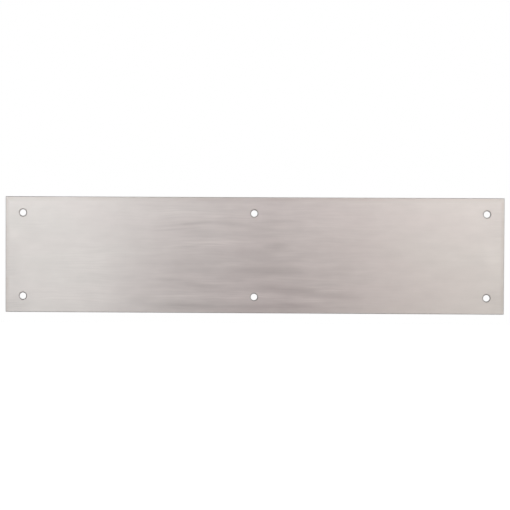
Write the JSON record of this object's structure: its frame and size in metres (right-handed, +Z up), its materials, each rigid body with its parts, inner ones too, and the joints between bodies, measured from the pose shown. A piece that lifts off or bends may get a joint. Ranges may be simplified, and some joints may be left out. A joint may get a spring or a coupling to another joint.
{
  "type": "kick plate",
  "caption": "Flat rectangular satin brushed steel plate with countersunk screw holes along both long edges, for the foot of a door.",
  "frame": {"origin": "centre of the back face, the face that lies on the door", "axes": "+X along the length, +Z up the height, +Y through the thickness into the door, so the visible front face looks towards -Y"},
  "size_m": [0.645, 0.0015, 0.15],
  "materials": {
    "satin_steel": "satin, fine straight grain along the length"
  },
  "bodies": {
    "root": {"kick_plate": "satin_steel"}
  },
  "joints": []
}
